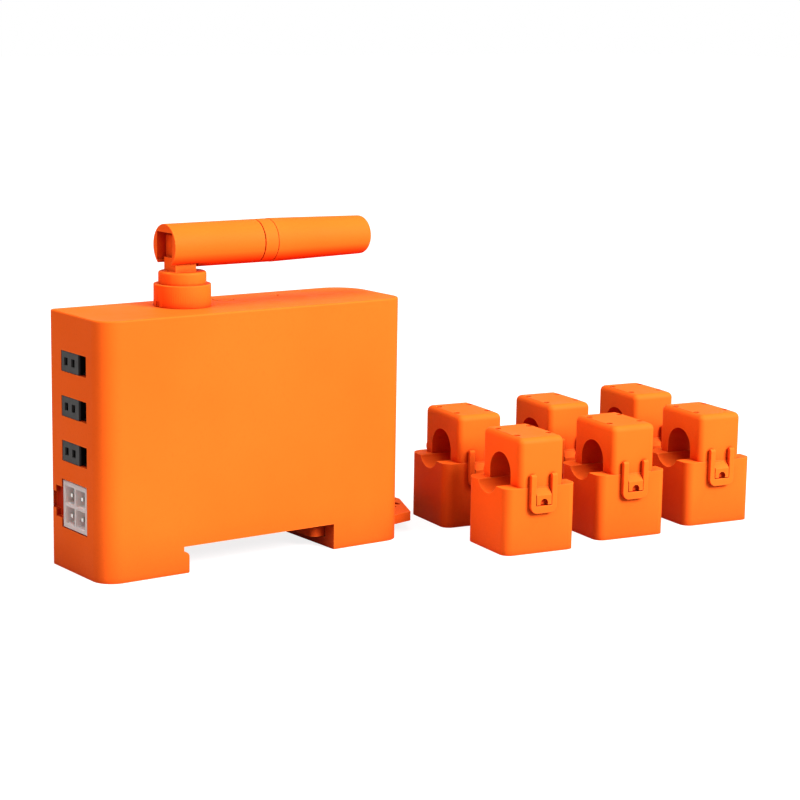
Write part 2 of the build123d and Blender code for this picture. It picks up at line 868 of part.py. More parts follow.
# One clamp, standing at its own origin: centre plane, front face and foot

def clamp_block():
    """Base body with rounded upright corners and the half-round cable groove."""
    outline = plan(clamp_width, clamp_depth, clamp_front_radius, clamp_rear_radius, clamp_rear_radius)
    body = Pos(0, clamp_depth / 2, 0) * extrude(outline, clamp_base_height)
    return body - rod(-clamp_width, aperture_y, aperture_z, aperture_radius,
                      2 * clamp_width, (1, 0, 0))


def core_half(upper, clearance):
    """Half of the split core: two legs and a bar, grown by a clearance."""
    half = core_width / 2 + clearance
    y0, y1 = core_front_y - clearance, core_back_y + clearance
    leg = core_leg + 2 * clearance
    if upper:
        far = aperture_z + aperture_radius + core_top_wall + core_bar + clearance
        bar = far - core_bar - 2 * clearance
    else:
        far = lower_bar_z - clearance
        bar = lower_bar_z + core_bar + clearance
    low, high = min(far, clamp_base_height), max(far, clamp_base_height)
    shape = block(-half, half, y0, y0 + leg, low, high)
    shape += block(-half, half, y1 - leg, y1, low, high)
    return shape + block(-half, half, y0, y1, min(far, bar), max(far, bar))


def coil_shell(clearance):
    """The winding's outer form round the lower bar."""
    half = core_width / 2 + coil_thickness + clearance
    return block(-half, half, coil_front_y - clearance, coil_back_y + clearance,
                 lower_bar_z - coil_thickness - clearance,
                 lower_bar_z + core_bar + coil_thickness + clearance)


def hinge_lugs():
    """Two round-topped lugs that carry the hinge pins."""
    lugs = []
    for side in (-1, 1):
        x = lug_start_x if side > 0 else -lug_start_x - lug_thickness
        lug = block(x, x + lug_thickness, hinge_y - lug_radius, hinge_y + lug_radius,
                    clamp_base_height - fit_gap, hinge_z)
        lug += rod(x, hinge_y, hinge_z, lug_radius, lug_thickness, (1, 0, 0))
        lugs.append(lug - rod(x - cut_overrun, hinge_y, hinge_z, hinge_pin_radius + bore_gap,
                              lug_thickness + 2 * cut_overrun, (1, 0, 0)))
    return lugs


def latch_tooth():
    """Tooth on the base's front: sloped above, flat in front, square below."""
    half = latch_width / 2 - latch_prong - tooth_gap
    side = Polyline((fit_gap, tooth_top_z), (0, tooth_top_z), (-latch_reach, tooth_shoulder_z),
                    (-latch_reach, tooth_bottom_z), (fit_gap, tooth_bottom_z), close=True)
    tooth = Pos(-half, 0, 0) * extrude(Plane.YZ * make_face(side), 2 * half)
    return tooth - rod(0, -latch_reach, tooth_hole_z, tooth_hole_radius, tooth_hole_depth, (0, 1, 0))


def clamp_base():
    """Lower half of a clamp: core and coil pocket, hinge lugs and latch tooth."""
    base = clamp_block() - core_half(False, bore_gap) - coil_shell(bore_gap)
    for lug in hinge_lugs():
        base += lug
    return base + latch_tooth()


def clamp_jaw():
    """Upper half of a clamp: arch over the cable, hinge barrel and lug slots."""
    half = jaw_width / 2
    jaw = block(-half, half, jaw_front_y, jaw_back_y, clamp_base_height, clamp_base_height + jaw_height)
    jaw = fillet(jaw.edges().filter_by(Axis.Z) + jaw.faces().sort_by(Axis.Z)[-1].edges(), jaw_edge_radius)
    jaw -= block(-half, half, hinge_y, clamp_depth, clamp_base_height, hinge_z)
    jaw += rod(hinge_barrel_inset - half, hinge_y, hinge_z, hinge_barrel_radius,
               jaw_width - 2 * hinge_barrel_inset, (1, 0, 0))
    jaw -= rod(-clamp_width, aperture_y, aperture_z, aperture_radius, 2 * clamp_width, (1, 0, 0))
    jaw -= block(-clamp_width, clamp_width, aperture_y - aperture_radius, aperture_y + aperture_radius,
                 clamp_base_height - cut_overrun, aperture_z)
    swing = lug_radius + lug_swing_gap
    for side in (-1, 1):
        x0 = lug_start_x - fit_gap if side > 0 else -lug_start_x - lug_thickness - fit_gap
        jaw -= block(x0, x0 + lug_thickness + 2 * fit_gap, hinge_y - swing, clamp_depth,
                     clamp_base_height - cut_overrun, hinge_z + swing)
        start = min(side * (pin_start_x - fit_gap), side * (pin_end_x + fit_gap))
        jaw -= rod(start, hinge_y, hinge_z, hinge_pin_radius + bore_gap + bore_gap,
                   pin_end_x - pin_start_x + 2 * fit_gap, (1, 0, 0))
        for y in jaw_pinhole_y:
            jaw -= rod(side * jaw_pinhole_x, y, clamp_base_height + jaw_height - jaw_pinhole_depth,
                       jaw_pinhole_radius, jaw_pinhole_depth + cut_overrun, (0, 0, 1))
    return jaw - core_half(True, bore_gap)


def latch_loop():
    """Loop that hangs from the jaw: two prongs with round roots and a cross bar."""
    half = latch_width / 2
    inner = half - latch_prong
    thick = latch_reach - latch_face_gap
    y0, y1 = -latch_reach, -latch_face_gap
    loop = block(-half, half, y0, y1, latch_bottom_z, latch_root_z)
    corners = loop.edges().filter_by(Axis.Y).group_by(Axis.Z)[0]
    loop = fillet(corners, latch_corner_radius)
    loop += rod(-half, y0 + thick / 2, latch_root_z, thick / 2, latch_width, (1, 0, 0))
    return loop - block(-inner, inner, y0 - cut_overrun, cut_overrun, latch_bar_top_z,
                        latch_root_z + thick)


def hinge_pins():
    """The two short pins of one clamp."""
    length = pin_end_x - pin_start_x
    return [rod(x, hinge_y, hinge_z, hinge_pin_radius, length, (1, 0, 0))
            for x in (pin_start_x, -pin_end_x)]


def clamp_coil():
    """Winding with its bobbin, closed round the lower bar."""
    half = core_width / 2 + bore_gap
    hole = block(-half, half, 0, clamp_depth, lower_bar_z - bore_gap, lower_bar_z + core_bar + bore_gap)
    return coil_shell(0) - hole


def clamp_places():
    """Where the clamps stand: front row first, each row from left to right."""
    places = []
    for row in range(clamp_rows):
        for column in range(clamp_columns):
            x = right + clamp_start_reach + column * clamp_column_step[0] + row * clamp_row_step[0]
            y = front + clamp_start_y + column * clamp_column_step[1] + row * clamp_row_step[1]
            centre = Pos(x, y, foot) * Rot(0, 0, clamp_yaw)
            places.append(centre * Pos(0, -clamp_depth / 2, 0))
    return places


# All nodes, each written to its own file

def all_nodes():
    """Every separate piece by its name."""
    nodes = {"case_shell": case_shell(), "rear_cover": rear_cover(), "cover_screws": cover_screws(),
             "main_board": main_board(), "transformer": transformer(),
             "bulk_capacitors": bulk_capacitors(), "fuse": fuse(), "varistor": varistor(),
             "metering_chip": metering_chip(), "radio_module": radio_module(),
             "shield_can": shield_can(), "tact_switch": tact_switch(),
             "reset_button": reset_button(), "status_light": status_light(),
             "light_pipe": light_pipe(), "terminal_header": terminal_header(),
             "header_pins": header_pins(), "antenna_base": antenna_base(),
             "antenna_nut": antenna_nut(), "antenna_swivel": antenna_swivel(),
             "antenna_tube": antenna_tube(), "antenna_ring": antenna_ring(),
             "antenna_sleeve": antenna_sleeve(), "antenna_radiator": antenna_radiator(),
             "rail_slider": rail_slider(), "slider_spring": slider_spring()}
    for number, bottom in enumerate(reversed(socket_bottoms()), start=1):
        housing = socket_housing(bottom)
        nodes[f"left_socket_{number}"] = housing
        nodes[f"right_socket_{number}"] = to_right_side(housing)
    pins = socket_contacts_left()
    nodes["socket_contacts"] = Compound(pins + [to_right_side(pin) for pin in pins])
    cores, coils, hinge = [], [], []
    base, jaw, upper, latch = clamp_base(), clamp_jaw(), core_half(True, 0), latch_loop()
    for number, place in enumerate(clamp_places(), start=1):
        nodes[f"clamp_{number}_base"] = place * base
        nodes[f"clamp_{number}_jaw"] = place * jaw
        nodes[f"clamp_{number}_jaw_core"] = place * upper
        nodes[f"clamp_{number}_latch"] = place * latch
        cores.append(place * core_half(False, 0))
        coils.append(place * clamp_coil())
        hinge += [place * pin for pin in hinge_pins()]
    nodes["clamp_cores"] = Compound(cores)
    nodes["clamp_coils"] = Compound(coils)
    nodes["clamp_hinge_pins"] = Compound(hinge)
    return nodes


os.makedirs("parts", exist_ok=True)
for name, shape in all_nodes().items():
    export_step(shape, f"parts/{name}.step")
    print(name, round(shape.volume, 2))
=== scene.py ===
import json
import math

import bmesh
import bpy
from bpy.props import FloatProperty, FloatVectorProperty, IntProperty, PointerProperty
from mathutils import Matrix, Vector

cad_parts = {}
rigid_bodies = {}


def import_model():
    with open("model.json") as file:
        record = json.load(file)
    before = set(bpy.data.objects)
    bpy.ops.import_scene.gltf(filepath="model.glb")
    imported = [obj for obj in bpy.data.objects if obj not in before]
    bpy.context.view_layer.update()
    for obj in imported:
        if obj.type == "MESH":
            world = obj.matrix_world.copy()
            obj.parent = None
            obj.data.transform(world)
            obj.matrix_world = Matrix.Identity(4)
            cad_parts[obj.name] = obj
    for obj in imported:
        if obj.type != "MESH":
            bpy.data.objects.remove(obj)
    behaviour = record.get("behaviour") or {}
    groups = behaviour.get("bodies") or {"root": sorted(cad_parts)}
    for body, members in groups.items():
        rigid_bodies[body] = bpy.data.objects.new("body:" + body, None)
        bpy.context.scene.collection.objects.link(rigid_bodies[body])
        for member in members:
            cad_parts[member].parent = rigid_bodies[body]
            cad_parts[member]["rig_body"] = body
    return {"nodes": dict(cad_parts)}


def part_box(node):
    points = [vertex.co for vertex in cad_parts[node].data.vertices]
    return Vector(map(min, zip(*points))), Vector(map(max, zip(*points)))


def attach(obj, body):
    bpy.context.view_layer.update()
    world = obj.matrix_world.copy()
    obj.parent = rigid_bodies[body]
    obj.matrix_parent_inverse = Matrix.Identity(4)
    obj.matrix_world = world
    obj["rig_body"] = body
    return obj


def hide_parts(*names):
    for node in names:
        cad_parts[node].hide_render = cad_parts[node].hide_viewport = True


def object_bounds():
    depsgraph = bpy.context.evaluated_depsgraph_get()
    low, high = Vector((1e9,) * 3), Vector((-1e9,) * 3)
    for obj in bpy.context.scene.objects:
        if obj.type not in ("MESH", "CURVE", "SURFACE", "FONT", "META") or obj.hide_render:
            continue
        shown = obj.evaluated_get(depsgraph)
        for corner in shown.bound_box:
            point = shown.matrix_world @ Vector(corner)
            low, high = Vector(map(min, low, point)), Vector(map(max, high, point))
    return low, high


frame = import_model()
cad_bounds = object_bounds()

bl_info = {
    "name": "Rail energy monitor kit",
    "version": (1, 0, 0),
    "blender": (4, 5, 0),
    "location": "3D View > Sidebar > Energy Monitor",
    "description": "Dresses a rail energy monitor and its split-core clamps in moulded finishes",
    "category": "Object",
}

MM = 0.001
WHITE = (1.0, 1.0, 1.0)
CLAMP_COUNT = sum(1 for name in frame["nodes"]
                  if name.startswith("clamp_") and name.endswith("_jaw"))
CASE_LOW, CASE_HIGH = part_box("case_shell")
HEADER_LOW, HEADER_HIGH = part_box("terminal_header")

# How the CAD meshes are rounded
WELD = 0.002 * MM  # points nearer than this are one point
FLAT_ANGLE = math.radians(0.4)  # faces that meet at less than this are one face
SHARP_ANGLE = math.radians(32.0)  # edges that turn more than this are rounded
DOWNWARD = -0.5  # a face looks down where its normal's Z is below this
UPWARD = 0.99  # a face is level and looks up where its normal's Z is above this

# The pinholes in the jaws' tops
PINHOLE_DEPTH = 1.0 * MM
PINHOLE_SLACK = 0.1 * MM
PINHOLE_APART = 2.0 * MM  # less than the way from one pinhole to the next
PINHOLE_RIM = 0.05 * MM  # how far past its floor's corners a pinhole's corners may lie
PINHOLE_SINK = 0.01 * MM  # how far below its floor's middle they may lie

# Shader values
RAYS = 4  # rays that find an edge or a corner
EDGE_TURN = (0.88, 0.99)  # how well the normals agree at an edge and on a flat face
DOWN_Z = (-0.95, -0.35)  # normal's Z on an underside and on a side wall
NOISE_BAND = (0.3, 0.7)  # where most of a noise's values lie
MASK_BLUR = 0.1 * MM  # softness of a mask's ends
WALL_SKIN = 0.3 * MM  # depth at which a recess in the case's left face starts
SOCKET_FACE = (0.55 * MM, 0.5 * MM)  # depth under the side face where the grey starts
BOARD_TRACKS = 260.0  # rows of tracks in a metre of board
TAPE_LAPS = 120.0  # scale of the tape's laps

# Colours of the metals and of the pieces inside
TIN = (0.66, 0.65, 0.62)
ZINC = (0.50, 0.51, 0.53)
FERRITE = (0.045, 0.045, 0.05)
BLACK = (0.012, 0.012, 0.013)
LIGHT_PACKAGE = (0.75, 0.75, 0.70)
VARISTOR_BLUE = (0.015, 0.07, 0.35)
MASK_GREEN = (0.012, 0.11, 0.045)
MASK_DARK = (0.008, 0.08, 0.035)
TRACK_GREEN = (0.03, 0.19, 0.08)
TAPE_YELLOW = (0.68, 0.44, 0.03)
TAPE_LAP = (0.55, 0.33, 0.02)
GUIDE_CLEAR = (0.34, 0.32, 0.30)
GUIDE_FLOW = (0.28, 0.26, 0.25)

# Stage, in metres from the rail seat
FLOOR_Z = CASE_LOW.z
FLOOR_REACH = 3.0
FLOOR_GREY = (0.3, 0.3, 0.3)
GLOW_AWAY = (0.15, 0.6)  # from here the floor's glow grows, up to there
GLOW_LEVEL = (0.84, 1.05)  # glow nearer than the first and beyond the second
AIM_Z = 0.02
SENSOR_MM = 36.0
CLIP_START = 0.01
LAMPS = (  # name, place, width, colour and the setting of its power
    ("key lamp", (0.40, -1.0, 0.66), 0.55, (1.0, 0.99, 0.97), "key_power"),
    ("fill lamp", (-1.0, -0.12, 0.40), 0.5, (1.0, 0.76, 0.70), "fill_power"),
    ("top lamp", (-0.1, 0.0, 0.9), 0.6, WHITE, "top_power"),
)


# Settings that a user would change

class FinishSettings(bpy.types.PropertyGroup):
    """Colours and surface textures of the mouldings."""
    orange: FloatVectorProperty(
        name="Orange", description="Colour of the case, antenna, slider and clamps",
        subtype="COLOR", default=(0.95, 0.148, 0.012), min=0, max=1)
    orange_deep: FloatVectorProperty(
        name="Deep orange", description="Colour that the orange drifts to",
        subtype="COLOR", default=(0.91, 0.134, 0.010), min=0, max=1)
    # Paler orange on the edges: partly real wear, partly a painted highlight along the edges
    orange_worn_highlight: FloatVectorProperty(
        name="Worn highlight orange", description="Paler orange where edges are rubbed",
        subtype="COLOR", default=(1.0, 0.27, 0.045), min=0, max=1)
    # Painted shade: the deep red that corners, recesses and gaps between pieces are painted with
    orange_crevice_shade: FloatVectorProperty(
        name="Crevice shade", description="Red that collects in corners and recesses",
        subtype="COLOR", default=(0.42, 0.012, 0.002), min=0, max=1)
    # Painted shade: the red that faces looking down are painted with
    orange_under_shade: FloatVectorProperty(
        name="Under shade", description="Red that the undersides turn to",
        subtype="COLOR", default=(0.85, 0.03, 0.003), min=0, max=1)
    socket_face: FloatVectorProperty(
        name="Socket face", description="Grey of the socket face blocks",
        subtype="COLOR", default=(0.060, 0.070, 0.071), min=0, max=1)
    socket_body: FloatVectorProperty(
        name="Socket body", description="Near black of the socket keyways",
        subtype="COLOR", default=(0.004, 0.004, 0.004), min=0, max=1)
    header_white: FloatVectorProperty(
        name="Header white", description="White of the terminal header",
        subtype="COLOR", default=(0.67, 0.67, 0.67), min=0, max=1)
    # Painted light: the lighter pinker white inside the header's cells
    header_cell_light: FloatVectorProperty(
        name="Header cell light", description="Pinkish white inside the header's cells",
        subtype="COLOR", default=(0.92, 0.86, 0.85), min=0, max=1)
    grain: FloatProperty(
        name="Grain", description="Width of one grain of the moulded texture",
        unit="LENGTH", default=0.0002, min=0.00005, max=0.002)
    # Strength of the lighter edges, which are partly wear and partly a painted highlight
    wear_and_highlight: FloatProperty(
        name="Wear and highlight", description="How much the edges are rubbed lighter",
        subtype="FACTOR", default=0.6, min=0, max=1)


class EdgeSettings(bpy.types.PropertyGroup):
    """Widths of the rounded edges."""
    case_edge: FloatProperty(
        name="Case edge", description="Rounding of the case's sharp edges",
        unit="LENGTH", default=0.00018, min=0, max=0.001)
    clamp_edge: FloatProperty(
        name="Clamp edge", description="Rounding of the clamps' sharp edges",
        unit="LENGTH", default=0.00014, min=0, max=0.001)
    fine_edge: FloatProperty(
        name="Fine edge", description="Rounding of small pieces",
        unit="LENGTH", default=0.00008, min=0, max=0.001)
    pinhole_reach: FloatProperty(
        name="Pinhole reach",
        description="How much wider the pinholes in the jaws look than they are cut",
        default=1.5, min=1, max=2)
    segments: IntProperty(
        name="Segments", description="Steps across each rounded edge", default=3, min=1, max=6)


class StageSettings(bpy.types.PropertyGroup):
    """Camera and lamps."""
    camera_side: FloatProperty(
        name="Camera side", description="Camera's place along X from the rail seat",
        unit="LENGTH", default=-0.23123)
    camera_back: FloatProperty(
        name="Camera back", description="Camera's place along Y from the rail seat",
        unit="LENGTH", default=-0.37421)
    camera_rise: FloatProperty(
        name="Camera rise", description="Camera's height over the rail seat",
        unit="LENGTH", default=0.10753)
    camera_turn: FloatProperty(
        name="Camera turn", description="Direction of view, turned from +Y towards +X",
        subtype="ANGLE", default=math.radians(36.16))
    camera_dip: FloatProperty(
        name="Camera dip", description="How far the camera looks down",
        subtype="ANGLE", default=math.radians(10.46))
    camera_roll: FloatProperty(
        name="Camera roll", description="Lean of the picture",
        subtype="ANGLE", default=math.radians(0.92))
    lens: FloatProperty(
        name="Lens", description="Focal length in millimetres",
        default=98.83, min=10, max=300)
    key_power: FloatProperty(
        name="Key power", description="Power of the large soft lamp in watts",
        default=30.0, min=0)
    fill_power: FloatProperty(
        name="Fill power", description="Power of the left soft lamp in watts",
        default=3.3, min=0)
    top_power: FloatProperty(
        name="Top power", description="Power of the overhead soft lamp in watts",
        default=6.0, min=0)
    room_light: FloatProperty(
        name="Room light", description="Strength of the even light of the room",
        default=0.20, min=0)
    room_cast: FloatVectorProperty(
        name="Room cast", description="Cast that the orange pieces give to the room's light",
        subtype="COLOR", default=(1.0, 0.34, 0.26), min=0, max=1)


class KitSettings(bpy.types.PropertyGroup):
    finish: PointerProperty(type=FinishSettings)
    edges: PointerProperty(type=EdgeSettings)
    stage: PointerProperty(type=StageSettings)


def settings():
    return bpy.context.scene.monitor_kit


# Material helpers

def rgba(colour):
    """A plain colour with full opacity, or the socket that brings one."""
    return colour if isinstance(colour, bpy.types.NodeSocket) else (*colour, 1.0)


class Tree:
    """A node tree under construction: adds nodes and wires them up."""

    def __init__(self, tree):
        self.tree = tree

    def add(self, kind, **values):
        """A new node with its plain properties set."""
        node = self.tree.nodes.new(kind)
        for key, value in values.items():
            setattr(node, key, value)
        return node

    def link(self, source, target):
        """A wire between two sockets."""
        self.tree.links.new(source, target)

    def feed(self, value, target):
        """Gives a socket a plain value, or the wire that brings one."""
        if isinstance(value, bpy.types.NodeSocket):
            self.link(value, target)
        else:
            target.default_value = value

    def spread(self, source, low, high, out_low, out_high):
        """A value mapped from one range to another, held at its ends."""
        node = self.add("ShaderNodeMapRange")
        node.inputs["From Min"].default_value = low
        node.inputs["From Max"].default_value = high
        node.inputs["To Min"].default_value = out_low
        node.inputs["To Max"].default_value = out_high
        self.link(source, node.inputs["Value"])
        return node.outputs["Result"]

    def math(self, kind, first, second):
        """Arithmetic on two sockets or numbers."""
        node = self.add("ShaderNodeMath", operation=kind)
        self.feed(first, node.inputs[0])
        self.feed(second, node.inputs[1])
        return node.outputs[0]

    def blend(self, factor, first, second):
        """One colour turning into another by a factor."""
        node = self.add("ShaderNodeMix", data_type="RGBA")
        self.link(factor, node.inputs["Factor"])
        self.feed(rgba(first), node.inputs[6])
        self.feed(rgba(second), node.inputs[7])
        return node.outputs[2]


class Finish(Tree):
    """A material of a piece under construction, with the masks that its looks need."""

    def __init__(self, name):
        self.material = bpy.data.materials.get(name) or bpy.data.materials.new(name)
        self.material.use_nodes = True
        super().__init__(self.material.node_tree)
        self.tree.nodes.clear()
        out = self.add("ShaderNodeOutputMaterial")
        self.shader = self.add("ShaderNodeBsdfPrincipled")
        self.link(self.shader.outputs["BSDF"], out.inputs["Surface"])
        self.place = self.add("ShaderNodeTexCoord").outputs["Object"]

    def noise(self, size, detail=2.0, rough=0.5, stretch=None):
        """Noise whose features are about one size across, in metres."""
        node = self.add("ShaderNodeTexNoise")
        node.inputs["Scale"].default_value = 1.0 / size
        node.inputs["Detail"].default_value = detail
        node.inputs["Roughness"].default_value = rough
        source = self.place
        if stretch:
            mapping = self.add("ShaderNodeMapping")
            mapping.inputs["Scale"].default_value = stretch
            self.link(source, mapping.inputs["Vector"])
            source = mapping.outputs["Vector"]
        self.link(source, node.inputs["Vector"])
        return node.outputs["Fac"]

    def cloud(self, size, out_low, out_high, detail=2.0, rough=0.5, band=NOISE_BAND):
        """Noise spread over a range of values, held outside its band."""
        return self.spread(self.noise(size, detail, rough), *band, out_low, out_high)

    def along(self, axis, source=None):
        """One part of a vector: of the place on the piece, or of another source."""
        split = self.add("ShaderNodeSeparateXYZ")
        self.link(source or self.place, split.inputs["Vector"])
        return split.outputs[axis]

    def edge(self, radius):
        """1 along edges within a radius, 0 on flat faces."""
        round_off = self.add("ShaderNodeBevel", samples=RAYS)
        round_off.inputs["Radius"].default_value = radius
        turn = self.add("ShaderNodeVectorMath", operation="DOT_PRODUCT")
        self.link(round_off.outputs["Normal"], turn.inputs[0])
        self.link(self.add("ShaderNodeNewGeometry").outputs["Normal"], turn.inputs[1])
        return self.spread(turn.outputs["Value"], *EDGE_TURN, 1.0, 0.0)

    def corner(self, reach, deep, open_air):
        """1 deep in corners and recesses, 0 on open faces."""
        shade = self.add("ShaderNodeAmbientOcclusion", samples=RAYS)
        shade.inputs["Distance"].default_value = reach
        return self.spread(shade.outputs["AO"], deep, open_air, 1.0, 0.0)

    def within(self, axis, low, high):
        """1 between two places along an axis of the piece, 0 beyond them."""
        place = self.along(axis)
        rise = self.spread(place, low - MASK_BLUR, low, 0.0, 1.0)
        fall = self.spread(place, high, high + MASK_BLUR, 1.0, 0.0)
        return self.math("MULTIPLY", rise, fall)

    def underside(self):
        """1 on faces that look down, 0 on level and rising ones, fixed to the piece."""
        normal = self.add("ShaderNodeTexCoord").outputs["Normal"]
        return self.spread(self.along("Z", normal), *DOWN_Z, 1.0, 0.0)

    def paint_shade(self, base, mask, colour, share):
        """The base turned by a share towards a colour of painted shade where the mask is 1."""
        return self.blend(self.math("MULTIPLY", mask, share), base, colour)

    def colour(self, source):
        """The base colour, from a socket or a plain colour."""
        self.feed(rgba(source), self.shader.inputs["Base Color"])

    def rough(self, source):
        """The roughness from a socket."""
        self.link(source, self.shader.inputs["Roughness"])

    def set(self, **values):
        """Plain values of the shader, with spaces of a socket's name as underscores."""
        for name, value in values.items():
            self.shader.inputs[name.replace("_", " ")].default_value = value

    def bump(self, *layers):
        """Bump from height layers, each a socket, a strength and a depth in metres."""
        normal = None
        for height, strength, depth in layers:
            node = self.add("ShaderNodeBump")
            node.inputs["Strength"].default_value = strength
            node.inputs["Distance"].default_value = depth
            self.link(height, node.inputs["Height"])
            if normal:
                self.link(normal, node.inputs["Normal"])
            normal = node.outputs["Normal"]
        self.link(normal, self.shader.inputs["Normal"])


def darker(colour, share):
    """A colour moved a share of the way to black."""
    return tuple(value * (1.0 - share) for value in colour)


# Finishes of this object

def latch_pocket(make):
    """1 in the pocket for the header's latch, behind the header in the case's left face, where
    painted shade goes.
    """
    across = make.within("X", CASE_LOW.x + WALL_SKIN, CASE_LOW.x + 1.5 * MM)
    along = make.within("Y", HEADER_HIGH.y + 0.2 * MM, CASE_HIGH.y - 0.5 * MM)
    upward = make.within("Z", HEADER_LOW.z, HEADER_HIGH.z)
    return make.math("MULTIPLY", make.math("MULTIPLY", across, along), upward)


def orange_moulding(name="orange moulding", pocket=False):
    """Satin orange plastic with a fine spark-eroded grain, slightly rubbed edges that also carry
    a painted highlight, and painted shade in crevices, recesses and on undersides.
    """
    finish = settings().finish
    make = Finish(name)
    drift = make.cloud(30.0 * MM, 0.0, 1.0, detail=3.0, band=(0.35, 0.65))
    base = make.blend(drift, finish.orange, finish.orange_deep)
    fleck = make.cloud(0.5 * MM, 0.0, 0.35, band=(0.55, 0.75))
    base = make.blend(fleck, base, darker(finish.orange, share=0.18))
    # Painted shade: faces that look down are painted redder and lose their shine
    under = make.underside()
    base = make.paint_shade(base, under, finish.orange_under_shade, share=0.9)
    # Painted shade: corners, recesses and faces between the clamps turn deep red where ambient
    # occlusion finds them
    hollow = make.corner(22.0 * MM, deep=0.14, open_air=0.60)
    base = make.paint_shade(base, hollow, finish.orange_crevice_shade, share=0.9)
    nook = make.corner(2.5 * MM, deep=0.35, open_air=0.72)
    base = make.paint_shade(base, nook, finish.orange_crevice_shade, share=0.85)
    # Painted shade: the latch pocket in the case's left face is painted deep red
    if pocket:
        base = make.paint_shade(base, latch_pocket(make), finish.orange_crevice_shade, share=0.9)
    # Lighter edges: partly rubbed wear, partly a painted highlight where the edges catch light
    worn_and_lit = make.cloud(2.5 * MM, 0.15, finish.wear_and_highlight, detail=4.0, band=(0.3, 0.6))
    rub_and_highlight = make.math("MULTIPLY", make.edge(0.25 * MM), worn_and_lit)
    make.colour(make.blend(rub_and_highlight, base, finish.orange_worn_highlight))
    make.rough(make.cloud(12.0 * MM, 0.55, 0.68, detail=4.0, rough=0.6))
    shine = make.spread(under, 0.0, 1.0, 0.06, 0.0)
    make.link(shine, make.shader.inputs["Specular IOR Level"])
    make.bump((make.noise(16.0 * MM, detail=1.0), 0.15, 0.1 * MM),
              (make.noise(finish.grain, rough=0.6), 0.35, 0.03 * MM))
    return make.material


def socket_plastic():
    """Black socket with a grey face block, told apart by how far out the surface lies."""
    finish = settings().finish
    make = Finish("socket moulding")
    outward = make.math("ABSOLUTE", make.along("X"), 0.0)
    reach = max(abs(CASE_LOW.x), CASE_HIGH.x)
    face = make.spread(outward, *(reach - depth for depth in SOCKET_FACE), 0.0, 1.0)
    fleck = make.cloud(0.5 * MM, 0.0, 0.3, detail=3.0)
    grey = make.blend(fleck, finish.socket_face, darker(finish.socket_face, share=0.3))
    make.colour(make.blend(face, finish.socket_body, grey))
    make.rough(make.cloud(3.0 * MM, 0.45, 0.6, detail=3.0))
    make.set(Specular_IOR_Level=0.1)
    make.bump((make.noise(0.2 * MM), 0.15, 0.03 * MM))
    return make.material


def header_nylon():
    """White nylon, milky, with a lighter pinker white painted inside its cells as painted light,
    and tool marks along them.
    """
    finish = settings().finish
    make = Finish("header nylon")
    drift = make.cloud(4.0 * MM, 0.0, 1.0, detail=3.0)
    base = make.blend(drift, finish.header_white, darker(finish.header_white, share=0.08))
    # Painted light: the cells are painted lighter than the frame
    cell = make.within("X", CASE_LOW.x + WALL_SKIN, CASE_HIGH.x)
    make.colour(make.blend(cell, base, finish.header_cell_light))
    make.rough(make.cloud(2.0 * MM, 0.38, 0.5))
    make.set(Subsurface_Weight=0.8, Subsurface_Scale=2.0 * MM,
             Subsurface_Radius=(1.0, 0.6, 0.55))
    marks = make.noise(0.3 * MM, detail=3.0, stretch=(0.15, 1.0, 1.0))
    make.bump((marks, 0.2, 0.03 * MM))
    return make.material


def metal(name, colour, roughness, brushed, size):
    """Bare or plated metal with brush marks along one direction."""
    make = Finish(name)
    marks = make.noise(size, detail=4.0, rough=0.6, stretch=brushed)
    dulled = make.spread(marks, *NOISE_BAND, 0.0, 1.0)
    make.colour(make.blend(dulled, colour, darker(colour, share=0.25)))
    make.set(Metallic=1.0)
    make.rough(make.spread(marks, *NOISE_BAND, roughness - 0.07, roughness + 0.1))
    make.bump((marks, 0.15, 0.02 * MM))
    return make.material


def tin_plating():
    """Bright tin of the pins, contacts and shield."""
    return metal("tin plating", TIN, 0.30, brushed=(1.0, 0.2, 1.0), size=0.4 * MM)


def zinc_steel():
    """Zinc-plated steel of the screws, spring and hinge pins."""
    return metal("zinc steel", ZINC, 0.36, brushed=(1.0, 1.0, 0.3), size=0.5 * MM)


def solder_mask():
    """Green board with copper tracks showing through the mask."""
    make = Finish("solder mask")
    tracks = make.add("ShaderNodeTexBrick")
    tracks.inputs["Scale"].default_value = BOARD_TRACKS
    tracks.inputs["Mortar Size"].default_value = 0.06
    make.link(make.place, tracks.inputs["Vector"])
    lines = tracks.outputs["Fac"]
    base = make.blend(lines, MASK_GREEN, TRACK_GREEN)
    patches = make.cloud(6.0 * MM, 0.0, 0.35, detail=3.0)
    make.colour(make.blend(patches, base, MASK_DARK))
    make.rough(make.cloud(2.0 * MM, 0.28, 0.4))
    make.bump((lines, 0.3, 0.04 * MM))
    return make.material


def dull_moulding(name, colour, roughness, grain):
    """Plain component moulding with a fine grain."""
    make = Finish(name)
    patches = make.cloud(12.0 * grain, 0.0, 1.0, detail=3.0)
    make.colour(make.blend(patches, colour, darker(colour, share=0.25)))
    make.rough(make.cloud(5.0 * grain, roughness, roughness + 0.12))
    make.bump((make.noise(grain), 0.2, 0.03 * MM))
    return make.material


def black_moulding():
    """Black moulding of the switch and the components on the board."""
    return dull_moulding("black moulding", BLACK, 0.4, grain=0.2 * MM)


def ferrite_core():
    """Sintered ferrite: dark, fine-grained, with ground faces."""
    return dull_moulding("ferrite core", FERRITE, 0.42, grain=0.15 * MM)


def varistor_coat():
    """Dipped blue coating with a soft orange-peel surface."""
    return dull_moulding("varistor coat", VARISTOR_BLUE, 0.22, grain=0.6 * MM)


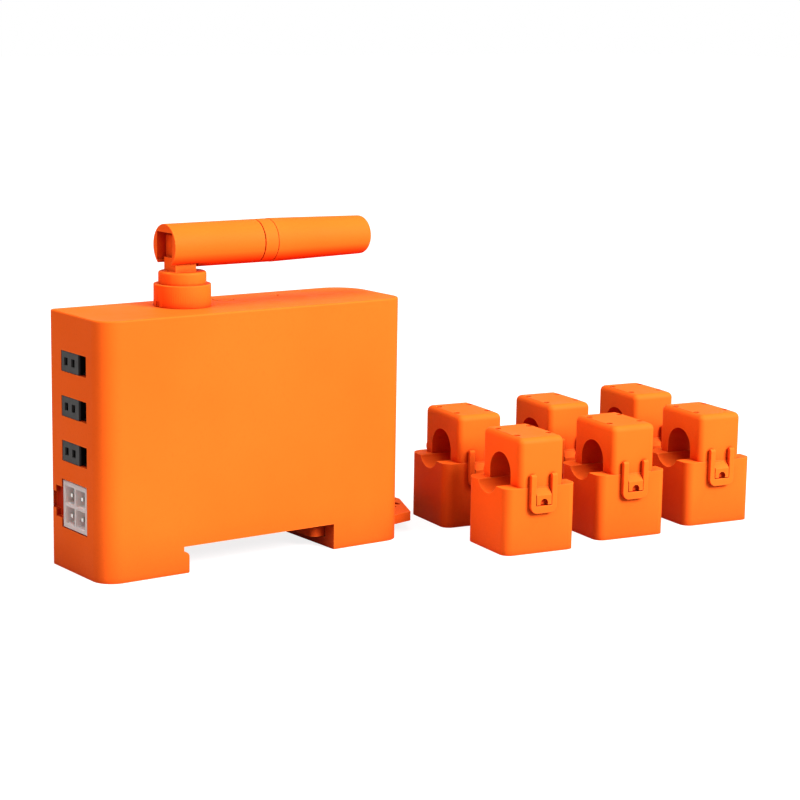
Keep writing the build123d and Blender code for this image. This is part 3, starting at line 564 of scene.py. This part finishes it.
def winding_tape():
    """Polyester tape over a winding, with its lapped turns."""
    make = Finish("winding tape")
    wave = make.add("ShaderNodeTexWave", bands_direction="X")
    wave.inputs["Scale"].default_value = TAPE_LAPS
    wave.inputs["Distortion"].default_value = 0.6
    make.link(make.place, wave.inputs["Vector"])
    laps = wave.outputs["Fac"]
    make.colour(make.blend(laps, TAPE_YELLOW, TAPE_LAP))
    make.rough(make.cloud(2.0 * MM, 0.25, 0.38))
    make.bump((laps, 0.2, 0.05 * MM))
    return make.material


def clear_guide():
    """Clear moulded light guide with faint flow lines."""
    make = Finish("clear guide")
    lines = make.noise(1.0 * MM, detail=3.0, stretch=(1.0, 1.0, 0.2))
    flow = make.spread(lines, *NOISE_BAND, 0.0, 1.0)
    make.colour(make.blend(flow, GUIDE_CLEAR, GUIDE_FLOW))
    make.set(Transmission_Weight=0.8, IOR=1.49)
    make.rough(make.spread(flow, 0.0, 1.0, 0.08, 0.16))
    make.bump((flow, 0.1, 0.02 * MM))
    return make.material


# Pieces made from the frame

def softened(node, width, finish):
    """A copy of a CAD node with its flat faces joined and its sharp edges rounded."""
    mesh = bpy.data.meshes.new(f"{node}_soft")
    work = bmesh.new()
    work.from_mesh(frame["nodes"][node].data)
    bmesh.ops.remove_doubles(work, verts=work.verts, dist=WELD)
    if node.endswith("_jaw"):
        open_pinholes(work)
    bmesh.ops.dissolve_limit(work, angle_limit=FLAT_ANGLE, verts=work.verts, edges=work.edges)
    # Blender can fill a face with many corners badly, which shows on undersides
    down = [face for face in work.faces if len(face.verts) > 4 and face.normal.z < DOWNWARD]
    bmesh.ops.triangulate(work, faces=down)
    work.to_mesh(mesh)
    work.free()
    piece = bpy.data.objects.new(f"{node}_moulding", mesh)
    bpy.context.scene.collection.objects.link(piece)
    mesh.materials.clear()
    mesh.materials.append(finish)
    for face in mesh.polygons:
        face.use_smooth = True
        face.material_index = 0
    mesh.set_sharp_from_angle(angle=SHARP_ANGLE)
    edge = piece.modifiers.new("rounded edges", "BEVEL")
    edge.width = width
    edge.segments = settings().edges.segments
    edge.limit_method = "ANGLE"
    edge.angle_limit = SHARP_ANGLE
    edge.use_clamp_overlap = True
    edge.harden_normals = True
    edge.miter_outer = "MITER_ARC"
    dress(piece, node)


def open_pinholes(work):
    """Widens the pinholes in a jaw's top, which the photograph shows wider than they are cut."""
    top = max(vertex.co.z for vertex in work.verts)
    reach = settings().edges.pinhole_reach
    points = {vertex for face in work.faces for vertex in face.verts
              if face.normal.z > UPWARD
              and abs(face.calc_center_median().z - (top - PINHOLE_DEPTH)) < PINHOLE_SLACK}
    while points:
        seed = next(iter(points))
        ring = {point for point in points if (point.co - seed.co).length < PINHOLE_APART}
        points -= ring
        middle = sum((point.co for point in ring), Vector()) / len(ring)
        radius = max((point.co - middle).length for point in ring)
        for vertex in work.verts:
            away = vertex.co - middle
            if away.z > -PINHOLE_SINK and away.xy.length < radius + PINHOLE_RIM:
                vertex.co.x = middle.x + away.x * reach
                vertex.co.y = middle.y + away.y * reach


def dress(piece, node):
    """Ties a piece to the CAD node that it stands for: puts it on the node's body and hides the
    node.
    """
    body = frame["nodes"][node]["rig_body"]
    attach(piece, body)
    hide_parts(node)


def paint(node, finish):
    """Gives a CAD node that keeps its own shape a finish."""
    mesh = frame["nodes"][node].data
    mesh.materials.clear()
    mesh.materials.append(finish)


# Operators, one for each group of pieces

class MONITOR_OT_case(bpy.types.Operator):
    """Case shell, rear cover and cover screws"""
    bl_idname = "monitor.case"
    bl_label = "Case"

    def execute(self, context):
        edges = settings().edges
        paint("case_shell", orange_moulding("case moulding", pocket=True))
        softened("rear_cover", edges.case_edge, orange_moulding())
        softened("cover_screws", edges.fine_edge, zinc_steel())
        return {"FINISHED"}


class MONITOR_OT_sockets(bpy.types.Operator):
    """Clamp sockets of both sides with their contacts"""
    bl_idname = "monitor.sockets"
    bl_label = "Sockets"

    def execute(self, context):
        plastic = socket_plastic()
        for node in sorted(frame["nodes"]):
            if node.startswith(("left_socket_", "right_socket_")):
                paint(node, plastic)
        paint("socket_contacts", tin_plating())
        return {"FINISHED"}


class MONITOR_OT_header(bpy.types.Operator):
    """White terminal header and its pins"""
    bl_idname = "monitor.header"
    bl_label = "Header"

    def execute(self, context):
        paint("terminal_header", header_nylon())
        softened("header_pins", settings().edges.fine_edge, tin_plating())
        return {"FINISHED"}


class MONITOR_OT_antenna(bpy.types.Operator):
    """Antenna collar, swivel, folding arm and the strip inside it"""
    bl_idname = "monitor.antenna"
    bl_label = "Antenna"

    def execute(self, context):
        orange = orange_moulding()
        for node in ("antenna_base", "antenna_swivel", "antenna_tube", "antenna_ring",
                     "antenna_sleeve"):
            softened(node, settings().edges.clamp_edge, orange)
        paint("antenna_nut", zinc_steel())
        paint("antenna_radiator", solder_mask())
        return {"FINISHED"}


class MONITOR_OT_controls(bpy.types.Operator):
    """Button, its switch, and the status light with its guide"""
    bl_idname = "monitor.controls"
    bl_label = "Controls"

    def execute(self, context):
        softened("reset_button", settings().edges.fine_edge, orange_moulding())
        paint("tact_switch", black_moulding())
        paint("light_pipe", clear_guide())
        package = dull_moulding("light package", LIGHT_PACKAGE, 0.3, grain=0.2 * MM)
        paint("status_light", package)
        return {"FINISHED"}


class MONITOR_OT_slider(bpy.types.Operator):
    """Rail slider and its spring"""
    bl_idname = "monitor.slider"
    bl_label = "Slider"

    def execute(self, context):
        softened("rail_slider", settings().edges.clamp_edge, orange_moulding())
        paint("slider_spring", zinc_steel())
        return {"FINISHED"}


class MONITOR_OT_clamps(bpy.types.Operator):
    """All split-core clamps: bases, jaws, latches, cores, coils and hinge pins"""
    bl_idname = "monitor.clamps"
    bl_label = "Clamps"

    def execute(self, context):
        orange = orange_moulding()
        width = settings().edges.clamp_edge
        core = ferrite_core()
        for number in range(1, CLAMP_COUNT + 1):
            for part in ("base", "jaw", "latch"):
                softened(f"clamp_{number}_{part}", width, orange)
            paint(f"clamp_{number}_jaw_core", core)
        paint("clamp_cores", core)
        paint("clamp_coils", winding_tape())
        paint("clamp_hinge_pins", zinc_steel())
        return {"FINISHED"}


class MONITOR_OT_inside(bpy.types.Operator):
    """Board and components inside the case"""
    bl_idname = "monitor.inside"
    bl_label = "Inside"

    def execute(self, context):
        black = black_moulding()
        paint("main_board", solder_mask())
        paint("radio_module", solder_mask())
        paint("shield_can", tin_plating())
        paint("transformer", winding_tape())
        paint("varistor", varistor_coat())
        for node in ("bulk_capacitors", "fuse", "metering_chip"):
            paint(node, black)
        return {"FINISHED"}


# Stage

def soft_lamp(name, place, aim, size, power, colour):
    """A square area lamp that looks at a point."""
    lamp = bpy.data.lights.new(name, "AREA")
    lamp.shape = "SQUARE"
    lamp.size = size
    lamp.energy = power
    lamp.color = colour
    holder = bpy.data.objects.new(name, lamp)
    bpy.context.scene.collection.objects.link(holder)
    holder.location = place
    holder.rotation_euler = (Vector(aim) - Vector(place)).to_track_quat("-Z", "Y").to_euler()


def white_floor():
    """Pale floor that the camera sees as white, with the object's faint shadow."""
    material = bpy.data.materials.new("pale floor")
    material.use_nodes = True
    make = Tree(material.node_tree)
    make.tree.nodes.clear()
    matte = make.add("ShaderNodeBsdfDiffuse")
    matte.inputs["Color"].default_value = rgba(FLOOR_GREY)
    path = make.add("ShaderNodeLightPath").outputs
    seen = make.math("MAXIMUM", path["Is Camera Ray"], path["Is Glossy Ray"])
    away = make.add("ShaderNodeVectorMath", operation="LENGTH")
    make.link(make.add("ShaderNodeTexCoord").outputs["Object"], away.inputs[0])
    level = make.spread(away.outputs["Value"], *GLOW_AWAY, *GLOW_LEVEL)
    glow = make.add("ShaderNodeEmission")
    make.link(make.math("MULTIPLY", seen, level), glow.inputs["Strength"])
    both = make.add("ShaderNodeAddShader")
    make.link(matte.outputs[0], both.inputs[0])
    make.link(glow.outputs[0], both.inputs[1])
    out = make.add("ShaderNodeOutputMaterial")
    make.link(both.outputs[0], out.inputs["Surface"])
    return material


def room(strength, cast):
    """Even light with a cast, white to the camera, in reflections and through clear pieces."""
    world = bpy.data.worlds.new("room")
    bpy.context.scene.world = world
    world.use_nodes = True
    make = Tree(world.node_tree)
    ground = make.tree.nodes["Background"]
    path = make.add("ShaderNodeLightPath").outputs
    seen = make.math("MAXIMUM", path["Is Camera Ray"], path["Is Transmission Ray"])
    bright = make.math("MAXIMUM", seen, path["Is Glossy Ray"])
    tint = make.blend(bright, tuple(value * strength for value in cast), WHITE)
    make.link(tint, ground.inputs["Color"])
    ground.inputs["Strength"].default_value = 1.0


class MONITOR_OT_stage(bpy.types.Operator):
    """Floor, room light, lamps and camera"""
    bl_idname = "monitor.stage"
    bl_label = "Stage"

    def execute(self, context):
        stage = settings().stage
        mesh = bpy.data.meshes.new("floor")
        corners = [(x * FLOOR_REACH, y * FLOOR_REACH, FLOOR_Z)
                   for x, y in ((-1, -1), (1, -1), (1, 1), (-1, 1))]
        mesh.from_pydata(corners, [], [(0, 1, 2, 3)])
        floor = bpy.data.objects.new("floor", mesh)
        context.scene.collection.objects.link(floor)
        floor.data.materials.append(white_floor())
        room(stage.room_light, stage.room_cast)
        middle = ((cad_bounds[0][0] + cad_bounds[1][0]) / 2, 0.0, AIM_Z)
        for name, place, size, colour, power in LAMPS:
            soft_lamp(name, place, middle, size, getattr(stage, power), colour)
        self.camera(context, stage)
        context.scene.view_settings.view_transform = "Standard"
        return {"FINISHED"}

    def camera(self, context, stage):
        """The photograph's view."""
        data = bpy.data.cameras.new("camera")
        data.lens = stage.lens
        data.sensor_width = SENSOR_MM
        data.sensor_fit = "HORIZONTAL"
        data.clip_start = CLIP_START
        holder = bpy.data.objects.new("camera", data)
        context.scene.collection.objects.link(holder)
        turn = Matrix.Rotation(-stage.camera_turn, 4, "Z")
        tilt = Matrix.Rotation(math.pi / 2 - stage.camera_dip, 4, "X")
        roll = Matrix.Rotation(stage.camera_roll, 4, "Z")
        place = Matrix.Translation((stage.camera_side, stage.camera_back, stage.camera_rise))
        holder.matrix_world = place @ turn @ tilt @ roll
        context.scene.camera = holder


class MONITOR_PT_kit(bpy.types.Panel):
    bl_label = "Energy Monitor"
    bl_space_type = "VIEW_3D"
    bl_region_type = "UI"
    bl_category = "Energy Monitor"

    def draw(self, context):
        kit = settings()
        for operator in OPERATORS:
            self.layout.operator(operator.bl_idname)
        for group in (kit.finish, kit.edges, kit.stage):
            box = self.layout.box()
            for name in group.__annotations__:
                box.prop(group, name)


OPERATORS = (MONITOR_OT_case, MONITOR_OT_sockets, MONITOR_OT_header, MONITOR_OT_antenna,
             MONITOR_OT_controls, MONITOR_OT_slider, MONITOR_OT_clamps, MONITOR_OT_inside,
             MONITOR_OT_stage)
CLASSES = (FinishSettings, EdgeSettings, StageSettings, KitSettings, *OPERATORS, MONITOR_PT_kit)


def register():
    for item in CLASSES:
        bpy.utils.register_class(item)
    bpy.types.Scene.monitor_kit = PointerProperty(type=KitSettings)


def unregister():
    del bpy.types.Scene.monitor_kit
    for item in reversed(CLASSES):
        bpy.utils.unregister_class(item)


def main():
    register()
    for operator in OPERATORS:
        group, name = operator.bl_idname.split(".")
        getattr(getattr(bpy.ops, group), name)()


if __name__ == "__main__":
    main()
